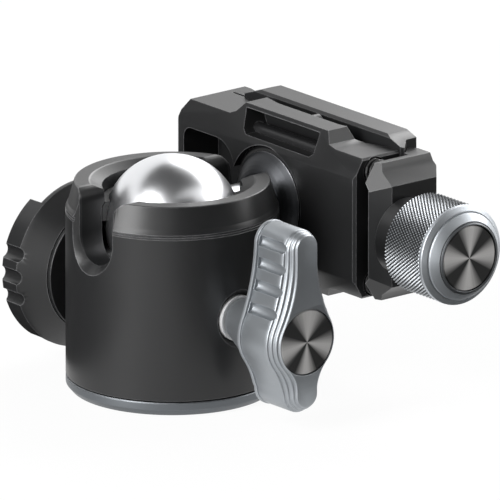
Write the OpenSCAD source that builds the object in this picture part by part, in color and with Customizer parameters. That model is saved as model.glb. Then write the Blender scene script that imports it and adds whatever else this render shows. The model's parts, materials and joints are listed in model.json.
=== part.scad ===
// Ball head for a tripod. Z is the pan axis, the lock lever is on +X, and the neck lies in the +Y notch.
// The origin is the middle of the foot, in the mouth of the tripod thread.

/* [Housing] */
// Radius of the housing
body_r = 16.12; // [15.95:0.01:16.5]
// Height of the housing's top rim
body_h = 32.46; // [31.85:0.01:33.1]
// Height of the grey base ring
ring_h = 2.15; // [1.75:0.01:2.2]
// Radius of the bore from below
bore_r = 11.09; // [10.95:0.01:11.35]
// Radius of the neck slot in the two notches
slot_r = 4.08; // [4:0.01:4.3]
// Radius of the notch where its chamfer meets the outer wall
notch_r = 5.33; // [5:0.01:5.5]

/* [Ball] */
// Radius of the ball
ball_r = 10.32; // [10.25:0.01:10.4]
// Height of the ball's middle
ball_z = 25.8; // [25.65:0.01:25.95]
// Radius of the neck
neck_r = 3.44; // [3.1:0.01:3.6]
// Radius of the flange at the end of the neck
flange_r = 7.4; // [6.9:0.01:7.7]

/* [Lever] */
// Height of the lever and pan knob axis
axis_z = 14.4; // [14.3:0.01:14.5]
// Front face of the lever
lever_front = 32.16; // [31.4:0.01:32.65]
// Back face of the lever
lever_back = 23.39; // [23.05:0.01:23.7]
// Length of the long arm
long_arm = 16.68; // [15.5:0.01:17.2]
// Length of the short arm
short_arm = 10.28; // [9.5:0.01:11.15]

/* [Pan knob] */
// Radius of the pan knob
pan_r = 13.07; // [12.5:0.01:13.2]
// Outer face of the pan knob
pan_out = 25.11; // [24.8:0.01:25.8]

/* [Clamp] */
// Distance of the clamp's underside from the pan axis
clamp_y = 18.06; // [18:0.01:18.4]
// Half the length of the fixed body, across the groove
clamp_x = 21.16; // [21:0.01:21.5]
// Half the width of the clamp, along the groove
clamp_w = 11.01; // [10.85:0.01:11.35]
// Height of the dovetail seat above the pan axis
seat_y = 26.83; // [26.75:0.01:26.9]
// Top of the jaws
jaw_top = 30.44; // [30.3:0.01:30.6]
// Distance of the clamp screw from the pan axis
screw_y = 22.53; // [22.4:0.01:22.6]
// Radius of the clamp knob
knob_r = 7.52; // [7.05:0.01:7.65]

/* [Plate] */
// Half the width of the dovetail at its foot
dovetail_w = 19; // [18.95:0.01:19.05]
// Camera side of the plate
plate_top = 31.18; // [31:0.01:31.35]
// Half the length of the plate
plate_l = 12.81; // [12.5:0.01:13.3]

/* [Hidden] */
$fn = 72;

black = "#26272a";
grey = "#8b9096";
steel = "#b9bcc0";
polymer = "#3a3c3a";

slack = 0.05;            // radial play of a running fit
gap = 0.3;               // room between parts that don't touch
past = 60;               // reaches past the whole head
over = 1;                // how far a cut runs past a face

// base
thread_r = 9.525 / 2;    // 3/8-16 thread
thread_deep = 7.31;
hub_r = 7.31;
turn_r = 9.46;           // turning flange
turn_z0 = 5.33;
turn_z1 = 8;
disc_r = 12.9;
disc_h = 1.03;
plate_screw_at = 10.75;
body_z0 = ring_h + 0.2;
floor_z0 = 8.94;
floor_z1 = 10.84;

// housing outside
groove_z = 27.78;
groove_h = 0.52;
groove_deep = 0.3;
band_z = groove_z + groove_h;
band_r = body_r - 0.43;
rim_r = body_r - 1.33;
rim_in_r = 12.56;
mouth_r = 10.58;
lip_z = 29.15;           // where the housing's lip begins to close over the liner
mouth_z = body_h - 0.82;
liner_z0 = 26.83;
liner_top = 29.76;
spot_r = 4.56;
notch_deep = 1.55;       // depth of the notch's chamfer

// pan knob
pan_in = 17.97;          // its face on the hub
pan_grip = 21.41;        // where its grip begins
pan_hub_r = 9.8;
pan_cap_r = 6.88;
pan_groove_r = 1.16;
pan_screw_end = 22.36;

// screws on the side axis
side_screw_r = 2.15;
bush_r = 3.53;
bush_out = body_r + 0.1;

// ball and neck
seat_r = ball_r + 0.05;
flare_y = 16.43;
recess_r = 8.38;
recess_deep = 1.2;
web_top = 20.73;         // seat of the clamp on the neck ends here

// clamp
stack_y = clamp_y + recess_deep - slack; // end of the neck
near_w = 8;              // half width of the clamp's underside
raised_w = 12.99;        // half width of the raised middle
pin_y = 22.02;
pin_z = 8.77;
pin_r = 1.29;
pin_end = 23.99;
stop_x = 2.41;           // stop pins
stop_y = 23.82;
stop_z = 11.39;
stop_r = 1.16;
clamp_screw_r = 1.72;
stem_screw_r = 1.38;
jaw_in = 23;
jaw_lip = 21.16;         // edge of its top beside the plate
jaw_step = 24.08;
jaw_out = 27.26;
jaw_w = 10.75;           // half its width
jaw_flat = 7.91;         // half width of its outer face
jaw_y = clamp_y + 0.3;
jaw_side_y = 20.43;      // where its corner facets begin on the outer face
collar_out = 31.91;
knob_front = 43;

// plate and its seat
plate_mid = 2.66;        // middle of the dovetail
foot_x0 = plate_mid - dovetail_w;
foot_x1 = plate_mid + dovetail_w;
flank_y = seat_y + 0.6;  // where the plate's flanks begin
flank = 1.72;            // height and width of a flank
plate_bot = seat_y + 0.1;
plate_edge = 0.43;       // chamfer round its underside
corner_x = 3.96;         // corners cut off the plate
corner_z = 1.38;
screw_sunk = 1.89;       // depth of the recess for the screw's head
clip_y = 29.58;
camera_r = 3.175;        // 1/4-20 thread
camera_long = 4.8;
pad_x = 9.63;            // rubber strips
pad_w = 1.72;
pad_l = 9.03;
pad_deep = 0.56;
pad_proud = 0.1;

// a circle's points from angle a to angle b about [cx, cy]
function arc(cx, cy, r, a, b, steps = 8) =
    [for (i = [0:steps]) let (t = a + (b - a) * i / steps) [cx + r * cos(t), cy + r * sin(t)]];

// half width of the lever at height h: a hub that runs into an arm
function lever_w(h, hub, arm, cut) =
    let (edge = sqrt(hub * hub - cut * cut), drop = edge - arm, run = 2 * drop * edge / cut)
    h <= cut ? sqrt(hub * hub - h * h)
    : h >= cut + run ? arm
    : arm + drop * pow(1 - (h - cut) / run, 2);

// one side of the lever's outline, from the short arm's tip to the long arm's tip
function lever_side(grow) =
    let (hub = 5.29 + grow, arm = 2.02 + grow, up = long_arm + 0.45 * grow, down = short_arm + grow)
    concat(
        [for (p = arc(0, -down + arm, arm, -90, 0, 6)) p],
        [for (i = [7:-1:0]) let (h = (down - arm - 0.2) * i / 8) [lever_w(h, hub, arm, 3.61), -h]],
        [for (i = [1:12]) let (h = (up - arm - 0.2) * i / 13) [lever_w(h, hub, arm, 2.58), h]],
        [for (p = arc(0, up - arm, arm, 0, 90, 6)) p]
    );

module lever_slab(x0, x1, grow) {
    side = lever_side(grow);
    n = len(side);
    other = [for (i = [n - 2:-1:1]) [-side[i][0], side[i][1]]];
    along_x(x0) linear_extrude(x1 - x0) polygon(concat(side, other));
}

// puts a shape drawn in X and Y onto the YZ plane at x, its height along +X, on the side axis
module along_x(x, y = 0, z = axis_z) {
    translate([x, y, z]) rotate([90, 0, 90]) children();
}

// the same towards -X
module along_minus_x(x, y = 0, z = axis_z) {
    translate([-x, y, z]) rotate([90, 0, -90]) children();
}

// puts a shape's height along +Y from y, level with the ball
module along_y(y, x = 0, z = 0) {
    translate([x, y, ball_z + z]) rotate([-90, 0, 0]) children();
}

module tube(r, bore, h) {
    difference() {
        cylinder(r = r, h = h);
        translate([0, 0, -over]) cylinder(r = bore, h = h + 2 * over);
    }
}

// base

module base_plate() color(black) difference() {
    union() {
        cylinder(r = disc_r, h = disc_h);
        cylinder(r = hub_r, h = turn_z1);
        translate([0, 0, turn_z0]) cylinder(r = turn_r, h = turn_z1 - turn_z0);
    }
    translate([0, 0, -over]) cylinder(r = thread_r, h = thread_deep + over);
    for (a = [0:120:240]) rotate(a) translate([plate_screw_at, 0, 0]) {
        translate([0, 0, -over]) cylinder(r = 0.86, h = disc_h + 2 * over);
        translate([0, 0, -0.01]) cylinder(r1 = 1.63, r2 = 0.86, h = 0.78);
    }
}

module base_ring() color(grey) difference() {
    rotate_extrude() polygon([
        [disc_r + slack, 0], [body_r - 0.82, 0], [body_r, 0.95], [body_r, ring_h - 0.12],
        [body_r - 0.12, ring_h], [hub_r + 0.1, ring_h], [hub_r + 0.1, disc_h + slack],
        [disc_r + slack, disc_h + slack]
    ]);
    for (a = [0:120:240]) rotate(a) translate([plate_screw_at, 0, 0]) cylinder(r = 0.69, h = 1.98);
}

module base_screws() color(steel) for (a = [0:120:240]) rotate(a) translate([plate_screw_at, 0, 0])
    difference() {
        union() {
            cylinder(r1 = 1.55, r2 = 0.82, h = 0.73);
            cylinder(r = 0.68, h = 1.89);
        }
        translate([0, 0, -over]) cylinder(r = 0.52, h = over + 0.43, $fn = 6);
    }

// housing

module notch_cut() {
    // the neck's slot through the wall, round at the level of the ball, with a flared mouth outside
    corner = 2.24;
    for (side = [0, 180]) rotate(side) {
        along_y(3.44) cylinder(r = slot_r, h = body_r);
        translate([-slot_r, 3.44, ball_z]) cube([2 * slot_r, body_r, body_h]);
        along_y(body_r - notch_deep) cylinder(r1 = slot_r, r2 = notch_r, h = notch_deep);
        along_y(body_r - 0.01) cylinder(r = notch_r, h = over);
        translate([0, body_r - notch_deep, ball_z]) linear_extrude(body_h) polygon([
            [-slot_r, 0], [slot_r, 0], [notch_r, notch_deep], [notch_r, notch_deep + over],
            [-notch_r, notch_deep + over], [-notch_r, notch_deep]
        ]);
        // rounded corners where the notch meets the rim
        for (hand = [-1, 1]) difference() {
            translate([hand * (slot_r + 0.86) - 1.38, 3.44, body_h - corner]) cube([2.75, body_r, 2.58]);
            along_y(2.58, hand * (slot_r + corner), body_h - corner - ball_z)
                cylinder(r = corner, h = body_r + 2);
            translate([hand > 0 ? slot_r + corner : -slot_r - corner - 2.58, 2.58, body_h - 2.58])
                cube([2.58, body_r + 2, 3.44]);
        }
    }
}

module housing() color(black) difference() {
    rotate_extrude() polygon([
        [bore_r, body_z0], [body_r - 0.2, body_z0], [body_r, body_z0 + 0.2],
        [body_r, groove_z], [body_r - groove_deep, groove_z + 0.12],
        [body_r - groove_deep, groove_z + groove_h - 0.12], [body_r, band_z],
        [band_r, band_z + 0.86], [rim_r, body_h - 0.15], [rim_r - 0.2, body_h],
        [rim_in_r, body_h], [mouth_r, mouth_z], [mouth_r, liner_top + 0.1], [bore_r, lip_z]
    ]);
    notch_cut();
    along_x(0) cylinder(r = side_screw_r + slack, h = 25.8);
    along_x(bush_out - 1.63) cylinder(r = bush_r + 0.02, h = 3.44);
    along_x(body_r - 0.77) cylinder(r1 = bush_r, r2 = spot_r + 0.1, h = 0.86);
    along_minus_x(0) cylinder(r = side_screw_r + slack, h = 25.8);
    along_minus_x(bush_out - 1.63) cylinder(r = bush_r + 0.02, h = 3.44);
}

module pan_retainer() color(steel) translate([0, 0, body_z0 + 0.1])
    tube(bore_r - 0.02, hub_r + 0.2, 2.15);

module pan_washer() color(polymer) translate([0, 0, body_z0 + 2.28])
    tube(turn_r + 0.69, hub_r + 0.1, turn_z0 - body_z0 - 2.32);

module thrust_washer() color(polymer) translate([0, 0, turn_z1 + slack])
    tube(5.16, 2.58, floor_z0 - turn_z1 - 2 * slack);

module inner_floor() color(black) translate([0, 0, floor_z0]) difference() {
    cylinder(r = bore_r - 0.02, h = floor_z1 - floor_z0);
    translate([-7.74, 0, -over]) cylinder(r = 1.72 + slack, h = 3.44);
    translate([0, 0, -over]) cylinder(r = 1.38, h = 3.44);
}

module wave_spring() color(steel) translate([0, 0, floor_z1]) tube(5.59, 3.87, 0.52);

module wedge_block() color("#9a8a55") difference() {
    translate([0, 0, floor_z1 + 0.56]) cylinder(r = bore_r - 0.3, h = 16.68 - floor_z1 - 0.56);
    translate([0, 0, ball_z]) sphere(r = ball_r + 0.3);
    translate([-7.74, 0, 8.6]) cylinder(r = 1.72 + gap, h = 10.32);
    along_minus_x(5.59) cylinder(r = side_screw_r + gap, h = 8.6);
    along_x(9.55) cylinder(r = side_screw_r + gap, h = 5.16);
    along_x(6.54) cylinder(r1 = 0.34, r2 = side_screw_r + 0.15, h = 3.1);
}

module ball_cup() color(polymer) difference() {
    translate([0, 0, 16.77]) cylinder(r = bore_r - 0.1, h = 5.59);
    translate([0, 0, ball_z]) sphere(r = seat_r);
    notch_cut();
}

module upper_liner() color(polymer) difference() {
    rotate_extrude() polygon([
        [6.88, liner_z0], [bore_r - 0.1, liner_z0], [bore_r - 0.1, lip_z - 0.1],
        [mouth_r - 0.1, liner_top], [6.88, liner_top]
    ]);
    translate([0, 0, ball_z]) sphere(r = seat_r);
    notch_cut();
}

module pan_shoe() color("#b08d3a") translate([-7.74, 0, turn_z1]) {
    cylinder(r = 1.72, h = 3.35);
    translate([0, 0, 3.35]) cylinder(r1 = 1.72, r2 = 1.03, h = 0.69);
}

module lock_bush() color("#e6e8ea") along_x(bush_out - 1.59) tube(bush_r, side_screw_r + slack, 1.59);
module pan_bush() color("#e6e8ea") along_minus_x(bush_out - 1.59) tube(bush_r, side_screw_r + slack, 1.59);

// lock lever

module lever_grooves(hand) {
    // finger grooves along the axis, each with a round front end
    for (h = [4.64, 8, 11.35, 14.71]) let (w = lever_w(h, 6.36, 3.1, 2.58))
        translate([lever_back + 0.86, hand * (w + 0.25), axis_z + h]) {
            rotate([0, 90, 0]) cylinder(r = 0.86, h = 5.33);
            translate([5.33, 0, 0]) sphere(r = 0.86);
        }
    // flat recess on the short arm
    translate([lever_back + 0.86, hand > 0 ? 2.62 : -6.06, axis_z - 8.69]) cube([5.93, 3.44, 3.18]);
}

module lock_lever() color(grey) difference() {
    union() {
        lever_slab(lever_back, lever_back + 0.69, 1.2);
        lever_slab(lever_back + 0.69, lever_back + 0.86, 0.99);
        lever_slab(lever_back + 0.86, lever_front - 1.89, 1.07);
        lever_slab(lever_front - 1.89, lever_front - 1.29, 0.71);
        lever_slab(lever_front - 1.29, lever_front - 0.65, 0.36);
        lever_slab(lever_front - 0.65, lever_front, 0);
    }
    lever_grooves(-1);
    lever_grooves(1);
    along_x(lever_front - 0.86) cylinder(r = 5.12, h = 2.58);
    along_x(lever_back - over) cylinder(r = side_screw_r, h = 5.59);
}

module lever_boss() color(grey) difference() {
    along_x(bush_out + 0.3) cylinder(r1 = 3.18, r2 = 6.11, h = lever_back - bush_out - 0.3);
    along_x(bush_out) cylinder(r = side_screw_r, h = 10.32);
}

module lever_disc() color("#4a4b4d") along_x(lever_front - 0.86) {
    cylinder(r = 4.99, h = 0.6);
    translate([0, 0, 0.6]) cylinder(r1 = 4.99, r2 = 4.82, h = 0.2);
}

module lock_screw() color(steel) along_x(0) {
    translate([0, 0, 6.79]) cylinder(r1 = 0.34, r2 = side_screw_r, h = 2.76);
    translate([0, 0, 9.55]) cylinder(r = side_screw_r, h = lever_back + 4.56 - 9.55);
}

// pan knob

module pan_knob() color(black) difference() {
    along_minus_x(0) rotate_extrude() polygon([
        [0, pan_in], [pan_hub_r + 0.1, pan_in], [pan_r - 0.43, pan_grip - 0.43], [pan_r, pan_grip],
        [pan_r - 0.05, pan_out - 0.25], [pan_r - 0.3, pan_out], [0, pan_out]
    ]);
    for (hand = [-1, 1]) {
        // finger grooves
        for (a = [-15.5, 0, 15.5]) along_minus_x(pan_grip + 0.1) rotate(a)
            translate([hand * (pan_r + 0.3), 0, 0]) {
                cylinder(r = pan_groove_r, h = 6.88);
                sphere(r = pan_groove_r);
            }
        // scoops at the top and the bottom
        along_minus_x(22.19) linear_extrude(6.88) polygon([
            [-8.26, hand * 17.2], [-7.74, hand * 11.35], [-7.05, hand * 9.12], [7.05, hand * 9.12],
            [7.74, hand * 11.35], [8.26, hand * 17.2]
        ]);
    }
    along_minus_x(pan_in - over) cylinder(r = side_screw_r, h = pan_screw_end - pan_in + over);
    along_minus_x(pan_out - 0.86) cylinder(r = pan_cap_r + slack, h = 2.58);
}

module pan_hub() color(black) along_minus_x(bush_out + 0.3) difference() {
    union() {
        cylinder(r = 4.3, h = 0.77);
        translate([0, 0, 0.69]) cylinder(r = pan_hub_r, h = pan_in - bush_out - 1.03);
    }
    translate([0, 0, -over]) cylinder(r = side_screw_r, h = 5.16);
}

module pan_cap() color("#4a4b4d") along_minus_x(pan_out - 0.86) {
    cylinder(r = pan_cap_r, h = 0.6);
    translate([0, 0, 0.6]) cylinder(r1 = pan_cap_r, r2 = pan_cap_r - 0.2, h = 0.2);
}

module pan_screw() color(steel) along_minus_x(0) {
    translate([0, 0, 7.05]) cylinder(r1 = 0.52, r2 = side_screw_r, h = 2.58);
    translate([0, 0, 9.63]) cylinder(r = side_screw_r, h = pan_screw_end - 9.63);
}

// ball and neck

module ball() color("#d8dade") difference() {
    union() {
        translate([0, 0, ball_z]) sphere(r = ball_r);
        along_y(ball_r - 1.72) cylinder(r = neck_r, h = stack_y - ball_r + 1.72);
    }
    along_y(11.61) cylinder(r = stem_screw_r + slack, h = 17.2);
}

module stem_flange() color("#5a5d62") along_y(0) rotate_extrude() polygon(concat(
    [[neck_r, flare_y - 0.3]],
    [for (i = [0:6]) let (t = i / 6) [neck_r + 0.43 + (flange_r - 0.6 - neck_r) * t,
        flare_y + 2.02 * pow(t, 1.7)]],
    [[flange_r, flare_y + 2.15], [flange_r, stack_y - 0.34], [neck_r, stack_y - 0.34]]
));

module flange_ring() color("#101010") along_y(stack_y - 0.34) tube(flange_r + 0.43, neck_r, 0.34);

// clamp

// keeps what lies inside the clamp's side outline: sloped towards the ball, half width w beyond
module side_outline(y0, w) {
    slope = (20.98 - clamp_y) / (raised_w - near_w);
    far = y0 + slope * (w - near_w);
    rotate([90, 0, 90]) linear_extrude(2 * past, center = true) polygon([
        [y0, ball_z - near_w], [far, ball_z - w], [past, ball_z - w],
        [past, ball_z + w], [far, ball_z + w], [y0, ball_z + near_w]
    ]);
}

// the fixed body's outline seen from the ball, with its raised middle
function face_half(s) = [
    [clamp_x, s * (clamp_w - 0.34)], [clamp_x - 0.34, s * clamp_w], [14.62, s * clamp_w],
    [12.9, s * (clamp_w + 0.3)], [11.44, s * raised_w], [-8.17, s * raised_w],
    [-9.46, s * (clamp_w + 0.52)], [-10.66, s * clamp_w], [-clamp_x + 1.03, s * clamp_w],
    [-clamp_x, s * (clamp_w - 1.72)]
];

module clamp_body() color(black) difference() {
    intersection() {
        translate([0, 0, ball_z]) linear_extrude(2 * past, center = true) polygon([
            [-clamp_x, clamp_y + 0.2], [-clamp_x + 0.2, clamp_y], [clamp_x - 0.43, clamp_y],
            [clamp_x, clamp_y + 0.43], [clamp_x, seat_y],
            [plate_mid + 16.17, seat_y], [plate_mid + 10.84, 25.03], [plate_mid + 7.22, 24.34],
            [plate_mid - 7.22, 24.34], [plate_mid - 10.84, 25.03], [plate_mid - 16.17, seat_y],
            [foot_x0 - 2.41, seat_y], [foot_x0 - 2.41, flank_y - 0.1], [foot_x0 - 0.1, flank_y - 0.1],
            [foot_x0 + flank - 0.1, flank_y + flank - 0.1], [foot_x0 + flank - 0.1, 29.67],
            [foot_x0 + 0.69, 29.76], [foot_x0 - 2.24, jaw_top], [-20.64, jaw_top], [-clamp_x, jaw_top - 0.52]
        ]);
        translate([0, past, ball_z]) rotate([90, 0, 0]) linear_extrude(past - 8)
            polygon(concat(face_half(1), [for (i = [9:-1:0]) face_half(-1)[i]]));
        side_outline(clamp_y, raised_w);
    }
    // seat of the neck's flange
    along_y(clamp_y - over) cylinder(r = recess_r, h = recess_deep + over);
    along_y(clamp_y) cylinder(r = 1.46, h = 3.44);
    along_y(web_top - 0.99) cylinder(r1 = 1.46, r2 = 3.01, h = 1);
    along_y(web_top) cylinder(r = 3.18, h = 5.16);
    window_cut();
    // pockets in the raised middle
    for (s = [-1, 1]) translate([0, 23.56, ball_z]) rotate([90, 0, 0]) linear_extrude(8.6) polygon([
        [-7.65, s * 12.38], [-6.36, s * 9.63], [-5.42, s * 8.99], [9.63, s * 8.9],
        [10.41, s * 9.46], [9.89, s * 12.38]
    ]);
    // bores for the spindle and the rods
    along_x(-10.32, screw_y, ball_z) cylinder(r = clamp_screw_r + slack, h = 51.6);
    for (s = [-1, 1]) {
        along_x(-11.35, pin_y, ball_z + s * pin_z) cylinder(r = pin_r + slack, h = 51.6);
        along_x(17.72, pin_y, ball_z + s * pin_z) cylinder(r = 2.15, h = 8.6);
        along_y(stop_y, stop_x, s * stop_z) cylinder(r = stop_r, h = 10.32);
    }
}

// rounded opening on the side away from the knob
module window_cut() {
    x0 = -19.61;
    x1 = -7.57;
    half = 7.22;
    r = 4.3;
    along_y(clamp_y - over) linear_extrude(7.74) polygon(concat(
        arc(x1 - r, half - r, r, 0, 90, 8), arc(x0 + 1.72, half - 1.72, 1.72, 90, 180, 5),
        arc(x0 + 1.72, -half + 1.72, 1.72, 180, 270, 5), arc(x1 - r, -half + r, r, 270, 360, 8)
    ));
}

module stem_screw() color(steel) difference() {
    union() {
        along_y(12.04) cylinder(r = stem_screw_r, h = web_top - 12.9);
        along_y(web_top - 0.95) cylinder(r1 = stem_screw_r, r2 = 2.92, h = 0.9);
    }
    along_y(web_top - 0.86) cylinder(r = 1.03, h = 2.58, $fn = 6);
}

module guide_pins() color(steel) for (s = [-1, 1])
    along_x(-11.18, pin_y, ball_z + s * pin_z) cylinder(r = pin_r, h = pin_end + 11.18);

// a wire along a helix: turns coils of radius r over length h
module coil(r, wire, h, turns) {
    sides = 6;
    per = 12;
    rings = turns * per;
    points = [for (i = [0:rings]) for (j = [0:sides - 1])
        let (a = 360 * i / per, b = 360 * j / sides, q = r + wire * cos(b))
        [q * cos(a), q * sin(a), wire + (h - 2 * wire) * i / rings + wire * sin(b)]];
    skin = [for (i = [0:rings - 1]) for (j = [0:sides - 1]) let (k = (j + 1) % sides)
        [(i + 1) * sides + j, (i + 1) * sides + k, i * sides + k, i * sides + j]];
    ends = [[for (j = [0:sides - 1]) j], [for (j = [sides - 1:-1:0]) rings * sides + j]];
    polyhedron(points, concat(skin, ends));
}

module jaw_springs() color(steel) for (s = [-1, 1])
    along_x(17.8, pin_y, ball_z + s * pin_z) coil(1.72, 0.26, 5.16, 5);

module stop_pins() color(steel) for (s = [-1, 1]) along_y(stop_y, stop_x, s * stop_z) {
    cylinder(r = stop_r, h = seat_y - 0.34 - stop_y);
    translate([0, 0, seat_y - 0.34 - stop_y]) cylinder(r1 = stop_r, r2 = stop_r - 0.3, h = 0.3);
}

// jaw

module movable_jaw() color(black) difference() {
    intersection() {
        // block outside the fixed body, with the dovetail flank
        translate([0, 0, ball_z]) linear_extrude(2 * past, center = true) polygon([
            [jaw_in, jaw_y], [jaw_step, jaw_y], [jaw_out, jaw_side_y], [jaw_out, jaw_top - 1.38],
            [jaw_out - 1.72, jaw_top], [jaw_lip, jaw_top], [foot_x1 - flank + 0.2, jaw_top - 0.77],
            [foot_x1 - flank + 0.2, flank_y + flank + 0.1], [foot_x1 + 0.2, flank_y + 0.1],
            [foot_x1 + 0.2, seat_y + 0.34], [jaw_in, seat_y + 0.34]
        ]);
        // slanted faces above and below the knob
        translate([0, past, ball_z]) rotate([90, 0, 0]) linear_extrude(past - 8) polygon([
            [8.6, -jaw_w], [jaw_step, -jaw_w], [jaw_step + 0.69, 1.12 - jaw_w], [jaw_out, -jaw_flat],
            [jaw_out, jaw_flat], [jaw_step + 0.69, jaw_w - 1.12], [jaw_step, jaw_w], [8.6, jaw_w]
        ]);
        side_outline(jaw_y - 0.1, jaw_w);
    }
    // corner facets
    for (s = [0, 1]) translate([jaw_out, jaw_side_y, ball_z]) mirror([0, 0, s])
        translate([0, 0, jaw_flat]) rotate([0, 58.7, -68]) translate([-17.2, -17.2, 0]) cube(34.4);
    // step in the inner face
    translate([0, seat_y + 0.34, ball_z]) rotate([90, 0, 0]) linear_extrude(17.2)
        polygon([[jaw_in - over, -8.77], [jaw_step, -6.88], [jaw_step, 6.88], [jaw_in - over, 8.77]]);
    along_x(17.2, screw_y, ball_z) cylinder(r = clamp_screw_r + gap, h = 25.8);
    for (s = [-1, 1]) along_x(17.2, pin_y, ball_z + s * pin_z) cylinder(r = pin_r, h = pin_end - 17.2);
}

module jaw_washer() color(steel) along_x(jaw_out, screw_y, ball_z) tube(5.42, clamp_screw_r + gap, 0.52);

// clamp knob

module knob_collar() color(black) along_x(jaw_out + 0.56, screw_y, ball_z)
    tube(6.02, clamp_screw_r, collar_out - jaw_out - 0.56);

module clamp_knob() color(grey) difference() {
    along_x(collar_out, screw_y, ball_z) rotate_extrude() polygon([
        [0, 0], [knob_r - 0.3, 0], [knob_r, 0.3], [knob_r, 8.17], [knob_r + 0.2, 8.26],
        [knob_r + 0.2, 8.94], [7.01, 9.55], [6.75, 9.55], [6.75, 9.8], [5.72, 10.84],
        [5.29, 11.09], [0, 11.09]
    ]);
    along_x(collar_out - over, screw_y, ball_z) cylinder(r = clamp_screw_r, h = 8.8);
    along_x(knob_front - 0.86, screw_y, ball_z) cylinder(r = 5.14, h = 2.58);
}

module knob_disc() color("#4a4b4d") along_x(knob_front - 0.86, screw_y, ball_z) {
    cylinder(r = 5.03, h = 0.6);
    translate([0, 0, 0.6]) cylinder(r1 = 5.03, r2 = 4.86, h = 0.2);
}

module clamp_screw() color(steel) along_x(-6.88, screw_y, ball_z)
    cylinder(r = clamp_screw_r, h = collar_out + 13.76);

// plate

// the plate's outline seen from the camera side, with corners cut off
function plate_face(w, l, x, z) = [
    [w - x, -l], [w, z - l], [w, l - z], [w - x, l], [x - w, l], [-w, l - z], [-w, z - l], [x - w, -l]
];

module quick_plate() color(black) difference() {
    intersection() {
        translate([0, 0, ball_z]) linear_extrude(2 * past, center = true) polygon([
            [foot_x0 + plate_edge, plate_bot], [foot_x1 - plate_edge, plate_bot],
            [foot_x1, plate_bot + plate_edge], [foot_x1, flank_y],
            [foot_x1 - flank, flank_y + flank], [foot_x1 - flank, plate_top],
            [foot_x0 + flank, plate_top], [foot_x0 + flank, flank_y + flank],
            [foot_x0, flank_y], [foot_x0, plate_bot + plate_edge]
        ]);
        // corners cut off
        translate([plate_mid, plate_top + over, ball_z]) rotate([90, 0, 0]) linear_extrude(7)
            polygon(plate_face(dovetail_w, plate_l, corner_x, corner_z));
        // chamfered ends
        rotate([90, 0, 90]) linear_extrude(2 * past, center = true) polygon([
            [plate_bot, ball_z - plate_l + plate_edge], [plate_bot + plate_edge, ball_z - plate_l],
            [plate_top + over, ball_z - plate_l], [plate_top + over, ball_z + plate_l],
            [plate_bot + plate_edge, ball_z + plate_l], [plate_bot, ball_z + plate_l - plate_edge]
        ]);
    }
    along_y(plate_bot - over, plate_mid) cylinder(r = 6.02, h = over + screw_sunk);
    along_y(plate_bot, plate_mid) cylinder(r = 2.84, h = 10.32);
    along_y(clip_y, plate_mid) cylinder(r = 3.96, h = 0.77);
    for (s = [-1, 1]) translate([plate_mid + s * pad_x, plate_top - pad_deep - slack, ball_z])
        translate([-pad_w - slack, 0, -pad_l - slack]) cube([2 * (pad_w + slack), 1.72, 2 * (pad_l + slack)]);
}

module plate_pads() color("#1c1c1c") for (s = [-1, 1])
    translate([plate_mid + s * pad_x - pad_w, plate_top - pad_deep, ball_z - pad_l])
        cube([2 * pad_w, pad_deep + pad_proud, 2 * pad_l]);

module camera_screw() color(steel) difference() {
    union() {
        along_y(plate_bot + 0.2, plate_mid) cylinder(r = 5.59, h = screw_sunk - 0.43);
        along_y(plate_bot + 0.86, plate_mid) cylinder(r = 2.15, h = plate_top - plate_bot);
        along_y(plate_top + 0.15, plate_mid) cylinder(r = camera_r, h = camera_long);
        along_y(plate_top - 0.05, plate_mid) cylinder(r1 = 2.15, r2 = camera_r, h = 0.2);
        along_y(plate_top + 0.15 + camera_long, plate_mid)
            cylinder(r1 = camera_r, r2 = camera_r - 0.49, h = 0.52);
    }
    translate([plate_mid - 0.52, plate_bot, ball_z - 6.02]) cube([1.03, 1.12, 12.04]);
}

module screw_clip() color(steel) along_y(clip_y + 0.1, plate_mid) tube(3.78, 2.24, 0.52);

base_plate();
base_ring();
base_screws();
housing();
pan_retainer();
pan_washer();
thrust_washer();
inner_floor();
wave_spring();
wedge_block();
ball_cup();
upper_liner();
pan_shoe();
lock_bush();
pan_bush();
lock_lever();
lever_boss();
lever_disc();
lock_screw();
pan_knob();
pan_hub();
pan_cap();
pan_screw();
ball();
stem_flange();
flange_ring();
clamp_body();
stem_screw();
guide_pins();
jaw_springs();
stop_pins();
movable_jaw();
jaw_washer();
clamp_knob();
knob_collar();
knob_disc();
clamp_screw();
quick_plate();
plate_pads();
camera_screw();
screw_clip();
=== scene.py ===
import json
import math
import bpy
from mathutils import Matrix, Vector

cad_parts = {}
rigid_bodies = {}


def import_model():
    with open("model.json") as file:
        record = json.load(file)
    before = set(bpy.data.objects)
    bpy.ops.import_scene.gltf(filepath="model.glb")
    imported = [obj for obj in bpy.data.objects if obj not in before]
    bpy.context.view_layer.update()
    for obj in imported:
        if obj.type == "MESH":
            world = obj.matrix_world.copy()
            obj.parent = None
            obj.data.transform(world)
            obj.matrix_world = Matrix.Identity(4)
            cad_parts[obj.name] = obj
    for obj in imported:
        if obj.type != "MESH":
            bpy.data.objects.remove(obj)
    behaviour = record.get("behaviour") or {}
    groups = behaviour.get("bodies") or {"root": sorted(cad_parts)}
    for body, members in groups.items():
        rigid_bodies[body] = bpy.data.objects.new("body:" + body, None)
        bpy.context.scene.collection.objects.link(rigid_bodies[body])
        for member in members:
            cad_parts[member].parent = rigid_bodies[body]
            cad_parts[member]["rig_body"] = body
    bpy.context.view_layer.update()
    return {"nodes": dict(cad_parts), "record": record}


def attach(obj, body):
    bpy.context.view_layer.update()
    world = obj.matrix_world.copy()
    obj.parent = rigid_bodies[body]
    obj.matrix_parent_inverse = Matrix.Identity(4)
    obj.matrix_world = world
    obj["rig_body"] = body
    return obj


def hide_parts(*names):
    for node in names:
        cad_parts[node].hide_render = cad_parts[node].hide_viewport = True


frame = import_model()
nodes = frame["nodes"]
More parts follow.
